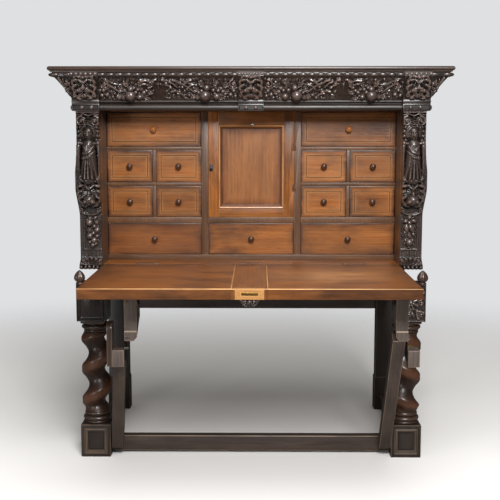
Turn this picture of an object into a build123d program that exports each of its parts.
"""Carved oak cupboard on a barley-twist stand, with a fall front, drawers and a small door.

Millimetres, +Z up, the front faces -Y. The origin is on the floor at the middle of the whole
piece with its fall front open. The case's front plane is the datum for depths: a "forward"
value counts from it towards -Y.
"""

import os
from dataclasses import dataclass
from math import atan2, cos, degrees, hypot, pi, radians, sin, tan

from build123d import *

os.makedirs("parts", exist_ok=True)

# ---------------------------------------------------------------- clearances
fit_gap = 0.3  # between a moving piece and the seat beside it
drawer_gap = 1.0  # beside and over a drawer front
drawer_run = 0.4  # under a drawer
door_gap = 1.0  # round the door
flap_gap = 1.5  # between the flap and the pilasters, and under the architrave when shut
pin_gap = 0.05  # radial, round a hinge pin that turns
joint_gap = 0.1  # glue line between the boards of one drawer, door or prop

# ---------------------------------------------------------------- case
case_depth = 647.0
case_inner_half = 570.0
side_thickness = 25.0
board_thickness = 20.0
back_thickness = 12.0
stand_height = 680.0
plinth_height = 50.0
plinth_thickness = 25.0

# ---------------------------------------------------------------- drawer bank
bank_recess = 125.0  # drawer fronts behind the case's front plane
sill_height = 21.0
long_row = 127.0  # row heights, from the floor of the case up
lower_row = 125.0
upper_row = 128.0
wide_row = 137.0
shelf_thickness = 23.0
rail_thickness = 13.0
door_opening_half = 170.0
upright_thickness = 27.0
divider_thickness = 12.0
drawer_length = 480.0
front_thickness = 18.0
box_side = 8.0
box_bottom = 6.0
box_drop = 14.0  # drawer sides are this much lower than the front
knob_radius = 12.5
knob_neck_radius = 6.0
knob_length = 24.0
knob_dome = 10.0  # height of the rounded head
knob_flare = 3.0  # the neck widens by this much at both ends

# ---------------------------------------------------------------- door
door_thickness = 22.0
door_stile = 40.0
door_top_rail = 51.0
door_bottom_rail = 34.0
door_moulding = 16.0
door_moulding_proud = 5.0
door_panel_thickness = 9.0
door_panel_bevel = 3.0
door_hinge_rises = (117.0, 278.0)  # above the shelf under the door
door_hinge_length = 27.0
door_knuckle_radius = 4.0
door_leaf_width = 7.5
door_leaf_thickness = 1.5
latch_rise = 196.0  # above the shelf under the door
latch_plate = (12.0, 26.0, 1.5)  # width, height, thickness
latch_inset = 5.0  # plate edge from the door's free edge
latch_stem = (3.0, 7.0)  # radius, length
latch_button = (6.5, 5.0)  # radius, length

# ---------------------------------------------------------------- flap
flap_thickness = 36.0
centre_board_half = 60.0
board_joint = 0.2  # open joint line between the flap's boards
flap_hinge_spacing = 400.0
flap_hinge_length = 90.0
flap_knuckle_radius = 4.5
hinge_pin_radius = 2.2
flap_leaf_width = 32.0
leaf_thickness = 2.0
knuckle_gap = 0.4
lock_block = (96.0, 20.0)  # width, depth of the let-in block
lock_plate = (55.0, 10.0, 2.0)  # width, height, thickness
pendant = (72.0, 18.0, 26.0)  # width, thickness, drop below the flap

# ---------------------------------------------------------------- pilasters
pilaster_width = 95.0
pilaster_lift = 55.0  # foot of the wing above the stand
pilaster_forward = 30.0
pilaster_return = 24.0  # how far the wing wraps back along the case side
wing_shoulder = 4.0  # the wing is this much narrower beside the figure
wing_swell = 4.0  # this much wider beside the mask
wing_waist = 11.0  # this much narrower below the mask
wing_foot = 5.0  # and this much narrower at its foot
figure_shift = 47.0  # middle of the figure outside the case's inner face
figure_depth = 38.0  # deepest relief in front of the wing

# ---------------------------------------------------------------- entablature
architrave_height = 41.0
architrave_bead = 26.0
architrave_proud = 20.0
architrave_step = 8.0
architrave_quirk = 5.0  # height of the groove over the bead
architrave_nose = 2.0  # depth of that groove
frieze_height = 102.0
frieze_band = 16.0
frieze_foot = 10.0
frieze_proud = 74.0
frieze_sag = 3.0  # hollow of the cove
frieze_lip = 4.0  # step between the cove and the band over it
cornice_thickness = 20.0
cornice_proud = 89.0
cornice_fillet = 4.0
block_forward = 46.0
centre_block_half = 48.0
centre_block_forward = 30.0
console_forward = 80.0  # top of the consoles that stand over the blocks
stud_radius = 5.0
stud_half_spacing = 18.0

# ---------------------------------------------------------------- stand
leg_shift = 33.0  # leg axis outside the case's inner face
leg_forward = 12.0  # leg axis in front of the case's front plane
foot_width = 116.0
foot_height = 129.0
foot_panel = 76.0
foot_panel_depth = 4.0
foot_beads = ((11.0, 50.0), (18.0, 56.0), (19.0, 50.0))  # height and radius, from the foot up
collar_beads = ((13.0, 48.0), (15.0, 56.0), (9.0, 46.0))  # height and radius, from the twist up
neck_height = 11.0  # square neck between the collar and the top block
twist_pitch = 125.0
twist_radius = 47.0
twist_offset = 11.0
twist_fade = 22.0
left_twist_rise = 160.0  # above the twist's foot, where the rope bulges straight outwards
right_twist_rise = 129.0
twist_sections = 26
top_block_shift = 8.0  # top block further out than the foot
top_block_width = 114.0
top_block_height = 143.0
top_block_step = 12.0
rear_leg_lap = 9.0  # the rear leg's inner face inside the case's inner face
rear_leg_width = 90.0
rear_leg_depth = 60.0
rear_foot_height = 150.0
rear_foot_proud = 4.0
rail_height = 65.0
front_rail_depth = 44.0
side_rail_width = 60.0
rear_rail_height = 216.0
rear_rail_thickness = 25.0
rear_rail_inset = 20.0
stretcher_height = 61.0
stretcher_lift = 10.0
stretcher_thickness = 40.0
stretcher_forward = 21.0
finial_shift = 53.0  # outside the leg's axis
finial_forward = 50.0
finial_radius = 21.0
finial_height = 54.0
finial_foot = 4.0

# ---------------------------------------------------------------- props
prop_pivot_height = 50.0
prop_pivot_forward = 46.0
strut_width = 44.0
strut_depth = 44.0
prop_pin_radius = 6.0
prop_pin_bite = 25.0  # length of pin in the foot
head_forward = 386.0  # front face of the prop heads
head_depth = 90.0
head_drop = 184.0  # the head's front lower edge below the flap
head_seat_back = 28.3  # the strut's middle behind the head's front face, at the head's lower edge
left_head_width = 45.0
left_head_inset = 104.0  # outer face of the left head inside the left foot
right_head_width = 42.0
right_head_overlap = 8.0  # outer face of the right head outside the right foot's inner face
head_chamfer = 14.0
head_ledge_height = 36.0
head_ledge = 3.0
head_pin_radius = 5.0
cheek_thickness = 3.0
cheek_gap = 0.4
cheek_radius = 16.0
strap_thickness = 3.0
strap_drop = 84.0  # top of the strap below the flap
strap_length = 175.0
strap_width = 34.0
block_drop = 217.0  # top of the side block below the flap
block_height = 59.0
block_depth = 72.0
left_block_width = 41.0
right_block_width = 40.0
guard = (19.0, 60.0, 160.0)  # board outside the left side block: width, depth, height

# ---------------------------------------------------------------- derived planes and heights
floor_top = stand_height + plinth_height + board_thickness
long_floor = floor_top + sill_height
shelf_bottom = long_floor + long_row
lower_floor = shelf_bottom + shelf_thickness
upper_floor = lower_floor + lower_row + rail_thickness
wide_floor = upper_floor + upper_row + rail_thickness
opening_top = wide_floor + wide_row
frieze_bottom = opening_top + architrave_height
cornice_bottom = frieze_bottom + frieze_height

pilaster_inner = case_inner_half
pilaster_outer = pilaster_inner + pilaster_width
pilaster_bottom = stand_height + pilaster_lift
figure_centre = case_inner_half + figure_shift
door_hinge_heights = [lower_floor + rise for rise in door_hinge_rises]
latch_height = lower_floor + latch_rise

flap_half_width = pilaster_inner - flap_gap
flap_hinge_positions = (-flap_hinge_spacing, 0.0, flap_hinge_spacing)
flap_length = opening_top - floor_top - flap_gap - fit_gap
flap_reach = flap_length + fit_gap
flap_bottom = floor_top - flap_thickness
case_front = (flap_reach - case_depth) / 2
case_back = case_front + case_depth
flap_rear = case_front - fit_gap
flap_front = case_front - flap_reach
bank_front = case_front + bank_recess
bank_back = case_back - back_thickness
case_outer_half = case_inner_half + side_thickness
bank_inner = door_opening_half + upright_thickness
bank_centre = (bank_inner + case_inner_half) / 2

leg_centre = case_inner_half + leg_shift
leg_y = case_front - leg_forward
rear_leg_inner = case_inner_half - rear_leg_lap
finial_centre = leg_centre + finial_shift
foot_inner = leg_centre - foot_width / 2
top_block_bottom = stand_height - top_block_height
twist_bottom = foot_height + sum(height for height, _ in foot_beads)
twist_top = top_block_bottom - neck_height - sum(height for height, _ in collar_beads)

head_bottom = flap_bottom - head_drop
head_pin_y = case_front - head_forward + head_depth / 2
head_pin_z = flap_bottom - head_depth / 2 - fit_gap
prop_pivot_y = case_front - prop_pivot_forward
prop_reach_forward = head_forward - head_seat_back - prop_pivot_forward
prop_lean = degrees(atan2(prop_reach_forward, head_bottom - prop_pivot_height))
strap_top = flap_bottom - strap_drop
strap_bottom = strap_top - strap_length
block_top = flap_bottom - block_drop
block_bottom = block_top - block_height


def span_box(x_low, x_high, y_low, y_high, z_low, z_high, mode=Mode.ADD):
    """A box between two corners, added to the part being built."""
    middle = ((x_low + x_high) / 2, (y_low + y_high) / 2, (z_low + z_high) / 2)
    with Locations(middle):
        Box(x_high - x_low, y_high - y_low, z_high - z_low, mode=mode)


def rod(centre, radius, length, direction, mode=Mode.ADD):
    """A round rod centred on a point, along X, Y or Z."""
    with BuildSketch(Plane(origin=centre, z_dir=direction)) as section:
        Circle(radius)
    extrude(section.sketch, amount=length / 2, both=True, mode=mode)


# ================================================================ stand
def turned_bead(x, y, low, high, radius):
    """One half-round bead turned on an upright axis."""
    core = radius - (high - low) / 2
    with BuildSketch(Plane(origin=(x, y, 0), x_dir=(1, 0, 0), z_dir=(0, -1, 0))) as section:
        with BuildLine():
            Polyline((0, high), (0, low), (core, low))
            ThreePointArc((core, low), (radius, (low + high) / 2), (core, high))
            Line((core, high), (0, high))
        make_face()
    revolve(section.sketch, axis=Axis((x, y, 0), (0, 0, 1)))


front_legs = ((-1, "front_leg_left", left_twist_rise), (1, "front_leg_right", right_twist_rise))
for side, leg_name, twist_rise in front_legs:
    leg_x = side * leg_centre
    block_x = side * (leg_centre + top_block_shift)
    with BuildPart() as front_leg:
        for step in range(twist_sections + 1):
            height = twist_bottom + (twist_top - twist_bottom) * step / twist_sections
            end_distance = min(height - twist_bottom, twist_top - height)
            swing = twist_offset * min(1.0, end_distance / twist_fade)
            turn = pi + 2 * pi * (height - twist_bottom - twist_rise) / twist_pitch
            centre = (leg_x - side * swing * cos(turn), leg_y + swing * sin(turn), height)
            with BuildSketch(Plane(origin=centre)):
                Circle(twist_radius)
        loft()
        for low, beads in ((foot_height, foot_beads), (twist_top, collar_beads)):
            for bead_height, radius in beads:
                turned_bead(leg_x, leg_y, low, low + bead_height, radius)
                low += bead_height
        half = foot_width / 2
        span_box(leg_x - half, leg_x + half, leg_y - half, leg_y + half, 0, foot_height)
        panel_z = (foot_height - foot_panel) / 2
        span_box(
            leg_x - foot_panel / 2, leg_x + foot_panel / 2,
            leg_y - half, leg_y - half + foot_panel_depth,
            panel_z, panel_z + foot_panel, mode=Mode.SUBTRACT,
        )
        outer = leg_x + side * half
        span_box(
            min(outer, outer - side * foot_panel_depth), max(outer, outer - side * foot_panel_depth),
            leg_y - foot_panel / 2, leg_y + foot_panel / 2,
            panel_z, panel_z + foot_panel, mode=Mode.SUBTRACT,
        )
        half = top_block_width / 2
        low = top_block_bottom
        span_box(block_x - half, block_x + half, leg_y - half, leg_y + half, low, stand_height)
        inset = half - top_block_step
        neck = low - neck_height
        span_box(block_x - inset, block_x + inset, leg_y - inset, leg_y + inset, neck, low)
        pin_middle = side * (foot_inner + prop_pin_bite / 2)
        pin_centre = (pin_middle, prop_pivot_y, prop_pivot_height)
        rod(pin_centre, prop_pin_radius, prop_pin_bite, (1, 0, 0), Mode.SUBTRACT)
    front_leg.part.label = leg_name
    export_step(front_leg.part, f"parts/{leg_name}.step")

for side, leg_name in ((-1, "rear_leg_left"), (1, "rear_leg_right")):
    edges = sorted((side * rear_leg_inner, side * (rear_leg_inner + rear_leg_width)))
    leg_face = case_back - rear_leg_depth
    with BuildPart() as rear_leg:
        span_box(edges[0], edges[1], leg_face, case_back, 0, stand_height)
        span_box(
            edges[0] - rear_foot_proud, edges[1] + rear_foot_proud,
            leg_face - rear_foot_proud, case_back, 0, rear_foot_height,
        )
    rear_leg.part.label = leg_name
    export_step(rear_leg.part, f"parts/{leg_name}.step")

with BuildPart() as front_stretcher:
    front = case_front - stretcher_forward
    top = stretcher_lift + stretcher_height
    span_box(-foot_inner, foot_inner, front, front + stretcher_thickness, stretcher_lift, top)
front_stretcher.part.label = "front_stretcher"
export_step(front_stretcher.part, "parts/front_stretcher.step")

with BuildPart() as side_stretchers:
    for side in (-1, 1):
        half = stretcher_thickness / 2
        span_box(
            side * leg_centre - half, side * leg_centre + half,
            leg_y + foot_width / 2, case_back - rear_leg_depth - rear_foot_proud,
            stretcher_lift, stretcher_lift + stretcher_height,
        )
side_stretchers.part.label = "side_stretchers"
export_step(side_stretchers.part, "parts/side_stretchers.step")

with BuildPart() as stand_rails:
    block_inner = leg_centre + top_block_shift - top_block_width / 2
    rail_low = stand_height - rail_height
    half = front_rail_depth / 2
    span_box(-block_inner, block_inner, case_front - half, case_front + half, rail_low, stand_height)
    for side in (-1, 1):
        low_x, high_x = sorted((side * case_inner_half, side * (case_inner_half + side_rail_width)))
        span_box(
            low_x, high_x, leg_y + top_block_width / 2, case_back - rear_leg_depth,
            rail_low, stand_height,
        )
    rear_face = case_back - rear_rail_inset
    span_box(
        -rear_leg_inner, rear_leg_inner, rear_face - rear_rail_thickness, rear_face,
        stand_height - rear_rail_height, stand_height,
    )
stand_rails.part.label = "stand_rails"
export_step(stand_rails.part, "parts/stand_rails.step")

with BuildPart() as leg_finials:
    for side in (-1, 1):
        x = side * finial_centre
        y = case_front - finial_forward
        with BuildSketch(Plane(origin=(x, y, stand_height), x_dir=(1, 0, 0), z_dir=(0, -1, 0))):
            with BuildLine():
                belly = finial_height * 0.45
                Polyline((0, finial_height), (0, 0), (finial_radius * 0.7, 0))
                Line((finial_radius * 0.7, 0), (finial_radius * 0.7, finial_foot))
                Spline(
                    (finial_radius * 0.7, finial_foot), (finial_radius, belly),
                    (finial_radius * 0.45, finial_height * 0.8), (0, finial_height),
                )
            make_face()
        revolve(axis=Axis((x, y, 0), (0, 0, 1)))
leg_finials.part.label = "leg_finials"
export_step(leg_finials.part, "parts/leg_finials.step")

# ================================================================ case
with BuildPart() as case_sides:
    for side in (-1, 1):
        low_x, high_x = sorted((side * case_inner_half, side * case_outer_half))
        span_box(low_x, high_x, case_front, case_back, stand_height, cornice_bottom)
case_sides.part.label = "case_sides"
export_step(case_sides.part, "parts/case_sides.step")

with BuildPart() as plinth_rails:
    plinth_top = stand_height + plinth_height
    for near in (case_front, case_back - plinth_thickness):
        far = near + plinth_thickness
        span_box(-case_inner_half, case_inner_half, near, far, stand_height, plinth_top)
plinth_rails.part.label = "plinth_rails"
export_step(plinth_rails.part, "parts/plinth_rails.step")

hinge_recess = flap_knuckle_radius + fit_gap
with BuildPart() as case_bottom:
    low = floor_top - board_thickness
    span_box(-case_inner_half, case_inner_half, case_front, case_back, low, floor_top)
    for x in flap_hinge_positions:
        rod((x, case_front, floor_top), hinge_recess, flap_hinge_length + 1, (1, 0, 0), Mode.SUBTRACT)
case_bottom.part.label = "case_bottom"
export_step(case_bottom.part, "parts/case_bottom.step")

with BuildPart() as case_top:
    top = opening_top + board_thickness
    span_box(-case_inner_half, case_inner_half, case_front, bank_back, opening_top, top)
case_top.part.label = "case_top"
export_step(case_top.part, "parts/case_top.step")

with BuildPart() as case_back_board:
    span_box(-case_inner_half, case_inner_half, bank_back, case_back, floor_top, cornice_bottom)
case_back_board.part.label = "case_back"
export_step(case_back_board.part, "parts/case_back.step")

# ---------------------------------------------------------------- pilasters
# Front view of the carved term: share of the pilaster's height, share of its half width.
figure_outline = (
    (0.0, 0.75), (0.05, 0.91), (0.08, 0.70), (0.10, 0.58), (0.34, 0.62), (0.37, 0.87), (0.435, 0.99),
    (0.515, 0.95), (0.57, 0.62), (0.665, 0.62), (0.755, 0.79), (0.79, 0.54), (0.84, 0.62),
    (0.89, 0.70), (0.95, 0.95), (1.0, 0.87),
)
# Side view: share of the pilaster's height, share of the deepest relief.
figure_relief = (
    (0.0, 0.42), (0.05, 0.68), (0.08, 0.37), (0.10, 0.21), (0.23, 0.32), (0.34, 0.21), (0.385, 0.68),
    (0.47, 1.0), (0.54, 0.68), (0.57, 0.32), (0.715, 0.47), (0.78, 0.42), (0.83, 0.74),
    (0.88, 0.79), (0.92, 0.47), (0.96, 0.63), (1.0, 0.32),
)
# Outer edge of the wing: share of the pilaster's height, how far inside the full width.
wing_outline = (
    (0.0, wing_foot), (0.037, wing_foot), (0.05, wing_waist), (0.36, wing_waist), (0.5, -wing_swell),
    (0.62, -wing_swell), (0.74, wing_shoulder), (1.0, wing_shoulder),
)
pilaster_height = opening_top - pilaster_bottom
wing_front = case_front - pilaster_forward

for side, pilaster_name in ((-1, "pilaster_left"), (1, "pilaster_right")):
    with BuildPart() as pilaster:
        middle = (side * figure_centre, wing_front, pilaster_bottom)
        with BuildSketch(Plane(origin=middle, x_dir=(1, 0, 0), z_dir=(0, -1, 0))):
            with BuildLine():
                rim = [
                    (share * pilaster_width / 2, height * pilaster_height)
                    for height, share in figure_outline
                ]
                Polyline(*[(-half, height) for half, height in rim], *reversed(rim), close=True)
            make_face()
        extrude(amount=figure_depth)
        foot = (0, wing_front, pilaster_bottom)
        with BuildSketch(Plane(origin=foot, x_dir=(0, 1, 0), z_dir=(1, 0, 0))):
            with BuildLine():
                Polyline(
                    (0, 0),
                    *[
                        (-share * figure_depth, height * pilaster_height)
                        for height, share in figure_relief
                    ],
                    (0, pilaster_height),
                    close=True,
                )
            make_face()
        extrude(amount=pilaster_outer + figure_centre, both=True, mode=Mode.INTERSECT)
        for inner, near, thickness in (
            (pilaster_inner, case_front, pilaster_forward),
            (case_outer_half, case_front + pilaster_return, pilaster_return),
        ):
            board_foot = Plane(origin=(0, near, pilaster_bottom), x_dir=(1, 0, 0), z_dir=(0, -1, 0))
            with BuildSketch(board_foot):
                with BuildLine():
                    Polyline(
                        (side * inner, 0),
                        *[
                            (side * (pilaster_outer - inset), height * pilaster_height)
                            for height, inset in wing_outline
                        ],
                        (side * inner, pilaster_height),
                        close=True,
                    )
                make_face()
            extrude(amount=thickness)
    pilaster.part.label = pilaster_name
    export_step(pilaster.part, f"parts/{pilaster_name}.step")


# ---------------------------------------------------------------- entablature
def moulding_face(profile, half_width, plane):
    """A closed section: the profile's points run upwards as (projection, height)."""
    with BuildSketch(plane) as section:
        with BuildLine():
            first, last = profile[0], profile[-1]
            for kind, start, middle, end in segments(profile):
                if kind == "arc":
                    ThreePointArc(start, middle, end)
                else:
                    Line(start, end)
            Polyline(last[:2], (-half_width, last[1]), (-half_width, first[1]), first[:2])
        make_face()
    return section.sketch


def segments(profile):
    """Lines, and arcs through a middle point where a corner carries a sagitta."""
    for here, there in zip(profile, profile[1:]):
        start, end = here[:2], there[:2]
        bulge = there[2] if len(there) > 2 else 0.0
        length = hypot(end[0] - start[0], end[1] - start[1])
        normal = ((end[1] - start[1]) / length, (start[0] - end[0]) / length)
        middle = (
            (start[0] + end[0]) / 2 + bulge * normal[0],
            (start[1] + end[1]) / 2 + bulge * normal[1],
        )
        yield ("arc" if bulge else "line"), start, middle, end


def moulding(profile, hollow):
    """A moulding round the front and both ends, in three lengths that meet on the case's corners."""
    low, high = profile[0][1], profile[-1][1]
    side_plane = Plane(origin=(0, case_front, 0), x_dir=(0, -1, 0), z_dir=(-1, 0, 0))
    front_section = moulding_face(profile, case_depth, side_plane)
    extrude(front_section, amount=pilaster_outer + 2 * cornice_proud, both=True)
    for plane in (
        Plane(origin=(pilaster_outer, 0, 0), x_dir=(1, 0, 0), z_dir=(0, -1, 0)),
        Plane(origin=(-pilaster_outer, 0, 0), x_dir=(-1, 0, 0), z_dir=(0, 1, 0)),
    ):
        end_section = moulding_face(profile, 2 * pilaster_outer + cornice_proud, plane)
        extrude(end_section, amount=2 * case_depth, both=True, mode=Mode.INTERSECT)
    if hollow:
        span_box(
            -case_outer_half, case_outer_half, case_front, case_back, low, high,
            mode=Mode.SUBTRACT,
        )
        for side in (-1, 1):
            corner = (side * case_outer_half, case_front, 0)
            split(bisect_by=Plane(origin=corner, z_dir=(side, 1, 0)), keep=Keep.BOTH)


bead_top = opening_top + architrave_bead
architrave_profile = (
    (architrave_step, opening_top),
    (architrave_step, bead_top, architrave_proud - architrave_step),
    (architrave_step - architrave_nose, bead_top),
    (architrave_step - architrave_nose, bead_top + architrave_quirk),
    (architrave_step + architrave_nose, bead_top + architrave_quirk),
    (architrave_step + architrave_nose, frieze_bottom, architrave_quirk),
)
block_rear = case_front - architrave_step
cap_outer = pilaster_outer + architrave_step
block_spans = (
    (-cap_outer, -pilaster_inner, block_forward),
    (-centre_block_half, centre_block_half, centre_block_forward),
    (pilaster_inner, cap_outer, block_forward),
)
with BuildPart() as architrave:
    moulding(architrave_profile, hollow=True)
    clear = case_front - 2 * architrave_proud
    for low_x, high_x, _ in block_spans:
        low_x -= 2 * architrave_proud if low_x == -cap_outer else 0
        high_x += 2 * architrave_proud if high_x == cap_outer else 0
        span_box(low_x, high_x, clear, block_rear, opening_top, bead_top, mode=Mode.SUBTRACT)
architrave.part.label = "architrave"
export_step(architrave.part, "parts/architrave.step")

band_bottom = cornice_bottom - frieze_band
frieze_profile = (
    (frieze_foot, frieze_bottom),
    (frieze_proud - frieze_lip, band_bottom, -frieze_sag),
    (frieze_proud, band_bottom),
    (frieze_proud, cornice_bottom),
)
with BuildPart() as cornice_frieze:
    moulding(frieze_profile, hollow=True)
    for low_x, high_x, _ in block_spans:
        span_box(
            low_x, high_x, case_front - cornice_proud, case_front - frieze_foot,
            frieze_bottom, cornice_bottom, mode=Mode.SUBTRACT,
        )
cornice_frieze.part.label = "cornice_frieze"
export_step(cornice_frieze.part, "parts/cornice_frieze.step")

torus = (cornice_thickness - cornice_fillet) / 2
cornice_core = cornice_proud - torus
cornice_profile = (
    (cornice_core, cornice_bottom),
    (cornice_core, cornice_bottom + cornice_fillet),
    (cornice_core, cornice_bottom + cornice_thickness, torus),
)
with BuildPart() as cornice_top:
    moulding(cornice_profile, hollow=False)
cornice_top.part.label = "cornice_top"
export_step(cornice_top.part, "parts/cornice_top.step")

with BuildPart() as entablature_blocks:
    for low_x, high_x, forward in block_spans:
        span_box(low_x, high_x, case_front - forward, block_rear, opening_top, bead_top)
        with BuildSketch(Plane(origin=(high_x, case_front, 0), x_dir=(0, -1, 0), z_dir=(-1, 0, 0))):
            with BuildLine():
                Polyline(
                    (frieze_foot, frieze_bottom),
                    (forward, frieze_bottom),
                    (console_forward, band_bottom),
                    (console_forward, cornice_bottom),
                    (frieze_foot, cornice_bottom),
                    close=True,
                )
            make_face()
        extrude(amount=high_x - low_x)
entablature_blocks.part.label = "entablature_blocks"
export_step(entablature_blocks.part, "parts/entablature_blocks.step")

with BuildPart() as block_studs:
    stud_z = opening_top + architrave_bead / 2
    for x, forward in (
        (-figure_centre, block_forward),
        (0, centre_block_forward),
        (figure_centre, block_forward),
    ):
        for shift in (-stud_half_spacing, stud_half_spacing):
            face = case_front - forward
            with BuildSketch(Plane(origin=(x + shift, face, stud_z), x_dir=(1, 0, 0))):
                with BuildLine():
                    Line((0, 0), (stud_radius, 0))
                    ThreePointArc(
                        (stud_radius, 0),
                        (stud_radius * cos(pi / 4), -stud_radius * sin(pi / 4)),
                        (0, -stud_radius),
                    )
                    Line((0, -stud_radius), (0, 0))
                make_face()
            revolve(axis=Axis((x + shift, face, stud_z), (0, 1, 0)))
block_studs.part.label = "block_studs"
export_step(block_studs.part, "parts/block_studs.step")

# ================================================================ drawer bank
with BuildPart() as bank_uprights:
    for side in (-1, 1):
        low_x, high_x = sorted((side * door_opening_half, side * bank_inner))
        span_box(low_x, high_x, bank_front, bank_back, long_floor, opening_top)
        for height in door_hinge_heights if side == 1 else ():
            rod(
                (door_opening_half, bank_front, height), door_knuckle_radius + fit_gap,
                door_hinge_length + 1, (0, 0, 1), Mode.SUBTRACT,
            )
bank_uprights.part.label = "bank_uprights"
export_step(bank_uprights.part, "parts/bank_uprights.step")

with BuildPart() as bank_shelves:
    span_box(-case_inner_half, case_inner_half, bank_front, bank_back, floor_top, long_floor)
    span_box(
        -door_opening_half, door_opening_half, bank_front, bank_back, shelf_bottom, lower_floor
    )
    for side in (-1, 1):
        low_x, high_x = sorted((side * bank_inner, side * case_inner_half))
        for top, thickness in (
            (lower_floor, shelf_thickness),
            (upper_floor, rail_thickness),
            (wide_floor, rail_thickness),
        ):
            span_box(low_x, high_x, bank_front, bank_back, top - thickness, top)
bank_shelves.part.label = "bank_shelves"
export_step(bank_shelves.part, "parts/bank_shelves.step")

with BuildPart() as bank_dividers:
    for side in (-1, 1):
        middle = side * bank_centre
        for low, height in ((lower_floor, lower_row), (upper_floor, upper_row)):
            span_box(
                middle - divider_thickness / 2, middle + divider_thickness / 2,
                bank_front, bank_back, low, low + height,
            )
bank_dividers.part.label = "bank_dividers"
export_step(bank_dividers.part, "parts/bank_dividers.step")


@dataclass
class Drawer:
    """One compartment of the bank and the drawer that fills it."""

    name: str
    centre: float
    width: float
    floor: float
    height: float


wide_width = case_inner_half - bank_inner
small_width = (wide_width - divider_thickness) / 2
small_shift = (small_width + divider_thickness) / 2
drawers = []
for side, side_name in ((-1, "left"), (1, "right")):
    middle = side * bank_centre
    inner = middle - side * small_shift
    outer = middle + side * small_shift
    drawers.append(Drawer(f"drawer_{side_name}_wide", middle, wide_width, wide_floor, wide_row))
    for row, low, height in (("upper", upper_floor, upper_row), ("lower", lower_floor, lower_row)):
        drawers.append(Drawer(f"drawer_{side_name}_{row}_outer", outer, small_width, low, height))
        drawers.append(Drawer(f"drawer_{side_name}_{row}_inner", inner, small_width, low, height))
    drawers.append(Drawer(f"drawer_{side_name}_long", middle, wide_width, long_floor, long_row))
drawers.append(Drawer("drawer_centre_long", 0.0, 2 * door_opening_half, long_floor, long_row))


def turned_knob(x, y, z):
    """A turned mushroom knob on a face at y, pointing to -Y, its head a cap of a ball."""
    rim = knob_dome - knob_length
    ball_radius = (knob_radius**2 + knob_dome**2) / (2 * knob_dome)
    with BuildSketch(Plane(origin=(x, y, z), x_dir=(1, 0, 0))) as section:
        with BuildLine():
            Polyline(
                (0, -knob_length),
                (0, 0),
                (knob_neck_radius + knob_flare, 0),
                (knob_neck_radius, -2 * knob_flare),
                (knob_neck_radius, rim + knob_flare),
                (knob_radius, rim),
            )
            RadiusArc((knob_radius, rim), (0, -knob_length), ball_radius)
        make_face()
    revolve(section.sketch, axis=Axis((x, y, z), (0, 1, 0)))


for item in drawers:
    left = item.centre - item.width / 2 + drawer_gap
    right = item.centre + item.width / 2 - drawer_gap
    base = item.floor + drawer_run
    top = item.floor + item.height - drawer_gap
    box_front = bank_front + front_thickness
    box_end = bank_front + drawer_length
    side_top = top - box_drop
    with BuildPart() as drawer:
        span_box(left, right, bank_front, box_front, base, top)
        board = box_front + joint_gap
        for near, far in ((left, left + box_side), (right - box_side, right)):
            span_box(near, far, board, box_end, base, side_top)
        near = left + box_side + joint_gap
        far = right - box_side - joint_gap
        span_box(near, far, box_end - box_side, box_end, base, side_top)
        end = box_end - box_side - joint_gap
        span_box(near, far, board, end, base, base + box_bottom)
        turned_knob(item.centre, bank_front - joint_gap, item.floor + item.height / 2)
    drawer.part.label = item.name
    export_step(drawer.part, f"parts/{item.name}.step")

# ================================================================ door
door_left = -door_opening_half + door_gap
door_right = door_opening_half - door_gap
door_base = lower_floor + door_gap
door_top = opening_top - door_gap
door_back = bank_front + door_thickness
panel_left = door_left + door_stile
panel_right = door_right - door_stile
panel_base = door_base + door_bottom_rail
panel_top = door_top - door_top_rail

with BuildPart() as door_frame:
    span_box(door_left, panel_left, bank_front, door_back, door_base, door_top)
    span_box(panel_right, door_right, bank_front, door_back, door_base, door_top)
    near = panel_left + joint_gap
    far = panel_right - joint_gap
    span_box(near, far, bank_front, door_back, door_base, panel_base)
    span_box(near, far, bank_front, door_back, panel_top, door_top)
    for height in door_hinge_heights:
        rod(
            (door_opening_half, bank_front, height), door_knuckle_radius + fit_gap,
            door_hinge_length + 1, (0, 0, 1), Mode.SUBTRACT,
        )
door_frame.part.label = "door_frame"
export_step(door_frame.part, "parts/door_frame.step")

with BuildPart() as door_panel:
    panel_face = bank_front + door_thickness / 2
    span_box(
        panel_left, panel_right, panel_face, panel_face + door_panel_thickness,
        panel_base, panel_top,
    )
    field = door_moulding + door_panel_bevel
    span_box(
        panel_left + field, panel_right - field, panel_face - door_panel_bevel, panel_face,
        panel_base + field, panel_top - field,
    )
door_panel.part.label = "door_panel"
export_step(door_panel.part, "parts/door_panel.step")

with BuildPart() as door_bolection:
    with BuildSketch(Plane(origin=(0, panel_face, 0), x_dir=(1, 0, 0), z_dir=(0, -1, 0))):
        with Locations(((panel_left + panel_right) / 2, (panel_base + panel_top) / 2)):
            Rectangle(panel_right - panel_left, panel_top - panel_base)
            Rectangle(
                panel_right - panel_left - 2 * door_moulding,
                panel_top - panel_base - 2 * door_moulding,
                mode=Mode.SUBTRACT,
            )
    extrude(amount=door_thickness / 2 + door_moulding_proud)
    raised = door_bolection.faces().sort_by(Axis.Y)[0]
    chamfer(raised.edges(), length=door_moulding_proud)
door_bolection.part.label = "door_moulding"
export_step(door_bolection.part, "parts/door_moulding.step")

with BuildPart() as door_latch:
    plate_width, plate_height, plate_thickness = latch_plate
    plate_left = door_left + latch_inset
    span_box(
        plate_left, plate_left + plate_width, bank_front - plate_thickness, bank_front,
        latch_height - plate_height / 2, latch_height + plate_height / 2,
    )
    face = bank_front - plate_thickness
    for radius, length in (latch_stem, latch_button):
        rod((plate_left + plate_width / 2, face - length / 2, latch_height), radius, length, (0, 1, 0))
        face -= length
door_latch.part.label = "door_latch"
export_step(door_latch.part, "parts/door_latch.step")


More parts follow.
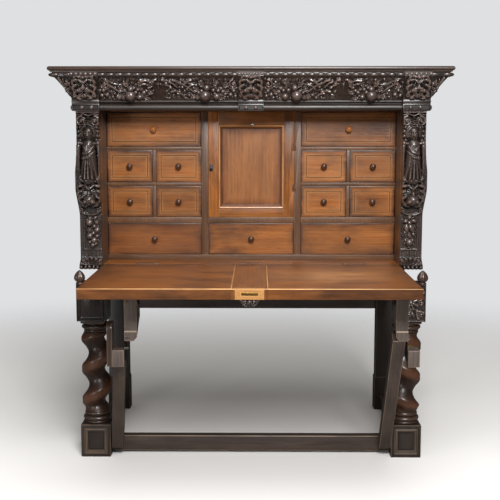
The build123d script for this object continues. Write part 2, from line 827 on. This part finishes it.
# ---------------------------------------------------------------- butt hinges
def knuckle_starts(length):
    """Where the three knuckles of a hinge start, and how long each one is."""
    each = (length - 2 * knuckle_gap) / 3
    return [-length / 2 + index * (each + knuckle_gap) for index in range(3)], each


def butt_leaf(plane, outer, length, radius, width, thickness):
    """One leaf of a butt hinge. The plane's X is the pin, its Y points along the leaf."""
    starts, each = knuckle_starts(length)
    reach = radius + fit_gap
    for start in (starts[0], starts[2]) if outer else (starts[1],):
        end = plane.from_local_coords((start, 0, 0))
        with BuildSketch(Plane(origin=end, z_dir=plane.x_dir)) as barrel:
            Circle(radius)
        extrude(barrel.sketch, amount=each)
        with BuildSketch(plane) as arm:
            with Locations((start + each / 2, reach / 2)):
                Rectangle(each, reach)
        extrude(arm.sketch, amount=thickness)
    with BuildSketch(plane) as leaf:
        with Locations((0, (reach + width) / 2)):
            Rectangle(length, width - reach)
    extrude(leaf.sketch, amount=thickness)
    with BuildSketch(Plane(origin=plane.origin, z_dir=plane.x_dir)) as bore:
        Circle(hinge_pin_radius + (0 if outer else pin_gap))
    extrude(bore.sketch, amount=length, both=True, mode=Mode.SUBTRACT)


with BuildPart() as case_hinge_leaves:
    for x in flap_hinge_positions:
        flap_plane = Plane(origin=(x, case_front, floor_top), x_dir=(1, 0, 0), z_dir=(0, 0, 1))
        butt_leaf(
            flap_plane, True, flap_hinge_length, flap_knuckle_radius, flap_leaf_width,
            leaf_thickness,
        )
    for height in door_hinge_heights:
        pin = (door_opening_half, bank_front, height)
        post_plane = Plane(origin=pin, x_dir=(0, 0, -1), z_dir=(0, -1, 0))
        butt_leaf(
            post_plane, True, door_hinge_length, door_knuckle_radius, door_leaf_width,
            door_leaf_thickness,
        )
case_hinge_leaves.part.label = "case_hinge_leaves"
export_step(case_hinge_leaves.part, "parts/case_hinge_leaves.step")

with BuildPart() as flap_hinge_leaves:
    for x in flap_hinge_positions:
        flap_plane = Plane(origin=(x, case_front, floor_top), x_dir=(-1, 0, 0), z_dir=(0, 0, 1))
        butt_leaf(
            flap_plane, False, flap_hinge_length, flap_knuckle_radius, flap_leaf_width,
            leaf_thickness,
        )
flap_hinge_leaves.part.label = "flap_hinge_leaves"
export_step(flap_hinge_leaves.part, "parts/flap_hinge_leaves.step")

with BuildPart() as door_hinge_leaves:
    for height in door_hinge_heights:
        pin = (door_opening_half, bank_front, height)
        door_plane = Plane(origin=pin, x_dir=(0, 0, 1), z_dir=(0, -1, 0))
        butt_leaf(
            door_plane, False, door_hinge_length, door_knuckle_radius, door_leaf_width,
            door_leaf_thickness,
        )
door_hinge_leaves.part.label = "door_hinge_leaves"
export_step(door_hinge_leaves.part, "parts/door_hinge_leaves.step")

with BuildPart() as hinge_pins:
    for x in flap_hinge_positions:
        rod((x, case_front, floor_top), hinge_pin_radius, flap_hinge_length, (1, 0, 0))
    for height in door_hinge_heights:
        rod((door_opening_half, bank_front, height), hinge_pin_radius, door_hinge_length, (0, 0, 1))
hinge_pins.part.label = "hinge_pins"
export_step(hinge_pins.part, "parts/hinge_pins.step")

# ================================================================ flap
block_width, block_let_in = lock_block
flap_boards = (
    ("flap_board_left", -flap_half_width, -centre_board_half - board_joint),
    ("flap_centre_board", -centre_board_half, centre_board_half),
    ("flap_board_right", centre_board_half + board_joint, flap_half_width),
)
for board_name, low_x, high_x in flap_boards:
    with BuildPart() as flap_board:
        span_box(low_x, high_x, flap_front, flap_rear, flap_bottom, floor_top)
        for x in flap_hinge_positions:
            if low_x < x < high_x:
                rod(
                    (x, case_front, floor_top), hinge_recess, flap_hinge_length + 1,
                    (1, 0, 0), Mode.SUBTRACT,
                )
        if low_x < 0 < high_x:
            span_box(
                -block_width / 2, block_width / 2, flap_front, flap_front + block_let_in,
                flap_bottom, floor_top, mode=Mode.SUBTRACT,
            )
    flap_board.part.label = board_name
    export_step(flap_board.part, f"parts/{board_name}.step")

plate_width, plate_height, plate_thickness = lock_plate
plate_z = flap_bottom + flap_thickness / 2
plate_corners = (-plate_width / 2, plate_width / 2, flap_front, flap_front + plate_thickness)
with BuildPart() as flap_lock_block:
    span_box(
        -block_width / 2, block_width / 2, flap_front, flap_front + block_let_in,
        flap_bottom, floor_top,
    )
    span_box(
        *plate_corners, plate_z - plate_height / 2, plate_z + plate_height / 2, mode=Mode.SUBTRACT
    )
flap_lock_block.part.label = "flap_lock_block"
export_step(flap_lock_block.part, "parts/flap_lock_block.step")

with BuildPart() as flap_lock_plate:
    span_box(*plate_corners, plate_z - plate_height / 2, plate_z + plate_height / 2)
flap_lock_plate.part.label = "flap_lock_plate"
export_step(flap_lock_plate.part, "parts/flap_lock_plate.step")

pendant_width, pendant_thickness, pendant_drop = pendant
with BuildPart() as flap_pendant:
    with BuildSketch(Plane(origin=(0, flap_front + 2, flap_bottom), x_dir=(1, 0, 0), z_dir=(0, 1, 0))):
        with BuildLine():
            half = pendant_width / 2
            Line((-half, 0), (half, 0))
            Spline(
                (half, 0),
                (half * 0.8, pendant_drop * 0.55),
                (0, pendant_drop),
                (-half * 0.8, pendant_drop * 0.55),
                (-half, 0),
            )
        make_face()
    extrude(amount=pendant_thickness)
flap_pendant.part.label = "flap_pendant"
export_step(flap_pendant.part, "parts/flap_pendant.step")


# ================================================================ props
@dataclass
class Prop:
    """One prop: where its head, side block and strut stand across the flap."""

    name: str
    side: int
    head_inner: float
    head_outer: float
    block_width: float
    strut_top: float
    under_block: bool


strut_seat = foot_inner - 2 * fit_gap - strut_width / 2
left_head_outer = foot_inner - left_head_inset
right_head_outer = foot_inner + right_head_overlap
left_strut_top = left_head_outer + strap_thickness + 2 * fit_gap + strut_width / 2
props = (
    Prop(
        "left", -1, left_head_outer - left_head_width, left_head_outer,
        left_block_width, left_strut_top, True,
    ),
    Prop(
        "right", 1, right_head_outer - right_head_width, right_head_outer,
        right_block_width, strut_seat, False,
    ),
)
lean = radians(prop_lean)
lean_sin = sin(lean)
lean_cos = cos(lean)
head_half = head_depth / 2


def strut_reach(height):
    """Distance from the strut's pin to the square face whose front lower edge is this high."""
    forward = head_forward - prop_pivot_forward
    return forward * lean_sin + (height - prop_pivot_height) * lean_cos


def side_plane(x, y, z):
    """A plane seen from the left end: its X points forward and its Y up."""
    return Plane(origin=(x, y, z), x_dir=(0, -1, 0), z_dir=(-1, 0, 0))


for prop in props:
    reach = strut_reach(block_bottom if prop.under_block else head_bottom)
    end_radius = reach - fit_gap
    half = strut_depth / 2
    corner = (end_radius**2 - half**2) ** 0.5
    foot_x = strut_seat - abs(strut_seat - prop.strut_top) / reach * half
    slope = (prop.strut_top - foot_x) / reach
    pin = (prop.side * foot_x, prop_pivot_y, prop_pivot_height)
    with BuildPart() as prop_strut:
        with BuildSketch(side_plane(0, prop_pivot_y, prop_pivot_height)):
            with BuildLine():
                front_foot = (half * lean_cos, -half * lean_sin)
                rear_foot = (-half * lean_cos, half * lean_sin)
                front_top = (front_foot[0] + corner * lean_sin, front_foot[1] + corner * lean_cos)
                rear_top = (rear_foot[0] + corner * lean_sin, rear_foot[1] + corner * lean_cos)
                ThreePointArc(front_foot, (-half * lean_sin, -half * lean_cos), rear_foot)
                Line(rear_foot, rear_top)
                ThreePointArc(rear_top, (end_radius * lean_sin, end_radius * lean_cos), front_top)
                Line(front_top, front_foot)
            make_face()
        extrude(amount=leg_centre, both=True)
        with BuildSketch(Plane(origin=(0, *pin[1:]), x_dir=(1, 0, 0), z_dir=(0, -lean_cos, -lean_sin))):
            with BuildLine():
                low, high = -strut_depth, reach + strut_depth
                bottom_x = prop.side * (foot_x + slope * low)
                top_x = prop.side * (foot_x + slope * high)
                width = strut_width / 2
                Polyline(
                    (bottom_x - width, low),
                    (bottom_x + width, low),
                    (top_x + width, high),
                    (top_x - width, high),
                    close=True,
                )
            make_face()
        extrude(amount=strut_depth, both=True, mode=Mode.INTERSECT)
        rod(pin, prop_pin_radius + pin_gap, 2 * strut_width, (1, 0, 0), Mode.SUBTRACT)
    prop_strut.part.label = f"prop_strut_{prop.name}"
    export_step(prop_strut.part, f"parts/prop_strut_{prop.name}.step")

    with BuildPart() as prop_head:
        low_x, high_x = sorted((prop.side * prop.head_inner, prop.side * prop.head_outer))
        with BuildSketch(side_plane(high_x, head_pin_y, head_pin_z)):
            with BuildLine():
                front_low = head_bottom - head_pin_z
                ledge_top = front_low + head_ledge_height
                rear_low = front_low + head_depth * tan(lean)
                ThreePointArc((-head_half, 0), (0, head_half), (head_half, 0))
                Polyline(
                    (head_half, 0),
                    (head_half, ledge_top),
                    (head_half + head_ledge, ledge_top),
                    (head_half + head_ledge, front_low + head_ledge),
                    (head_half, front_low),
                    (-head_half, rear_low),
                    (-head_half, 0),
                )
            make_face()
        extrude(amount=high_x - low_x)
        inner_edge = prop_head.edges().filter_by(
            lambda edge: abs(edge.center().X - prop.side * prop.head_inner) < fit_gap
            and edge.center().Z < head_bottom + head_depth * tan(lean)
            and abs(edge.tangent_at(0.5).Z) < 0.9
            and abs(edge.tangent_at(0.5).Y) > 0.1
        )
        chamfer(inner_edge.sort_by(SortBy.LENGTH)[-1], length=head_chamfer)
        rod((prop.side * prop.head_inner, head_pin_y, head_pin_z), head_pin_radius + pin_gap,
            4 * head_depth, (1, 0, 0), Mode.SUBTRACT)
        near = prop.head_outer + strap_thickness
        low_x, high_x = sorted((prop.side * near, prop.side * (near + prop.block_width)))
        with BuildSketch(side_plane(high_x, head_pin_y, head_pin_z)):
            with BuildLine():
                low = block_bottom - head_pin_z
                Polyline(
                    (head_half, low),
                    (head_half, block_top - head_pin_z),
                    (head_half - block_depth, block_top - head_pin_z),
                    (head_half - block_depth, low + block_depth * tan(lean)),
                    close=True,
                )
            make_face()
        extrude(amount=high_x - low_x)
    prop_head.part.label = f"prop_head_{prop.name}"
    export_step(prop_head.part, f"parts/prop_head_{prop.name}.step")

    with BuildPart() as prop_strap:
        low_x, high_x = sorted(
            (prop.side * prop.head_outer, prop.side * (prop.head_outer + strap_thickness))
        )
        near_y = head_pin_y - strap_width / 2
        span_box(low_x, high_x, near_y, near_y + strap_width, strap_bottom, strap_top)
    prop_strap.part.label = f"prop_strap_{prop.name}"
    export_step(prop_strap.part, f"parts/prop_strap_{prop.name}.step")

guard_width, guard_depth, guard_height = guard
with BuildPart() as prop_guard:
    guard_inner = left_head_outer + strap_thickness + left_block_width
    with BuildSketch(side_plane(-guard_inner, head_pin_y, block_bottom)):
        with BuildLine():
            nose = guard_depth / 2
            Polyline(
                (head_half, guard_height - nose),
                (head_half, 0),
                (head_half - guard_depth, guard_depth * tan(lean)),
                (head_half - guard_depth, guard_height - nose),
            )
            ThreePointArc(
                (head_half - guard_depth, guard_height - nose), (head_half - nose, guard_height),
                (head_half, guard_height - nose),
            )
        make_face()
    extrude(amount=guard_width)
prop_guard.part.label = "prop_guard"
export_step(prop_guard.part, "parts/prop_guard.step")

with BuildPart() as prop_cheeks:
    for prop in props:
        for face, step in ((prop.head_inner, -1), (prop.head_outer, 1)):
            near = face + step * cheek_gap
            low_x, high_x = sorted((prop.side * near, prop.side * (near + step * cheek_thickness)))
            with BuildSketch(side_plane(high_x, head_pin_y, head_pin_z)):
                rise = flap_bottom - head_pin_z
                with Locations((0, rise / 2)):
                    Rectangle(2 * cheek_radius, rise)
                Circle(cheek_radius)
                Circle(head_pin_radius, mode=Mode.SUBTRACT)
            extrude(amount=high_x - low_x)
prop_cheeks.part.label = "prop_cheeks"
export_step(prop_cheeks.part, "parts/prop_cheeks.step")

with BuildPart() as prop_head_pins:
    for prop in props:
        span = prop.head_outer - prop.head_inner + 2 * (cheek_gap + cheek_thickness)
        middle = prop.side * (prop.head_outer + prop.head_inner) / 2
        rod((middle, head_pin_y, head_pin_z), head_pin_radius, span, (1, 0, 0))
prop_head_pins.part.label = "prop_head_pins"
export_step(prop_head_pins.part, "parts/prop_head_pins.step")

with BuildPart() as prop_foot_pins:
    for side in (-1, 1):
        span = prop_pin_bite + strut_width + 4 * fit_gap
        middle = side * (foot_inner + prop_pin_bite - span / 2)
        rod((middle, prop_pivot_y, prop_pivot_height), prop_pin_radius, span, (1, 0, 0))
prop_foot_pins.part.label = "prop_foot_pins"
export_step(prop_foot_pins.part, "parts/prop_foot_pins.step")
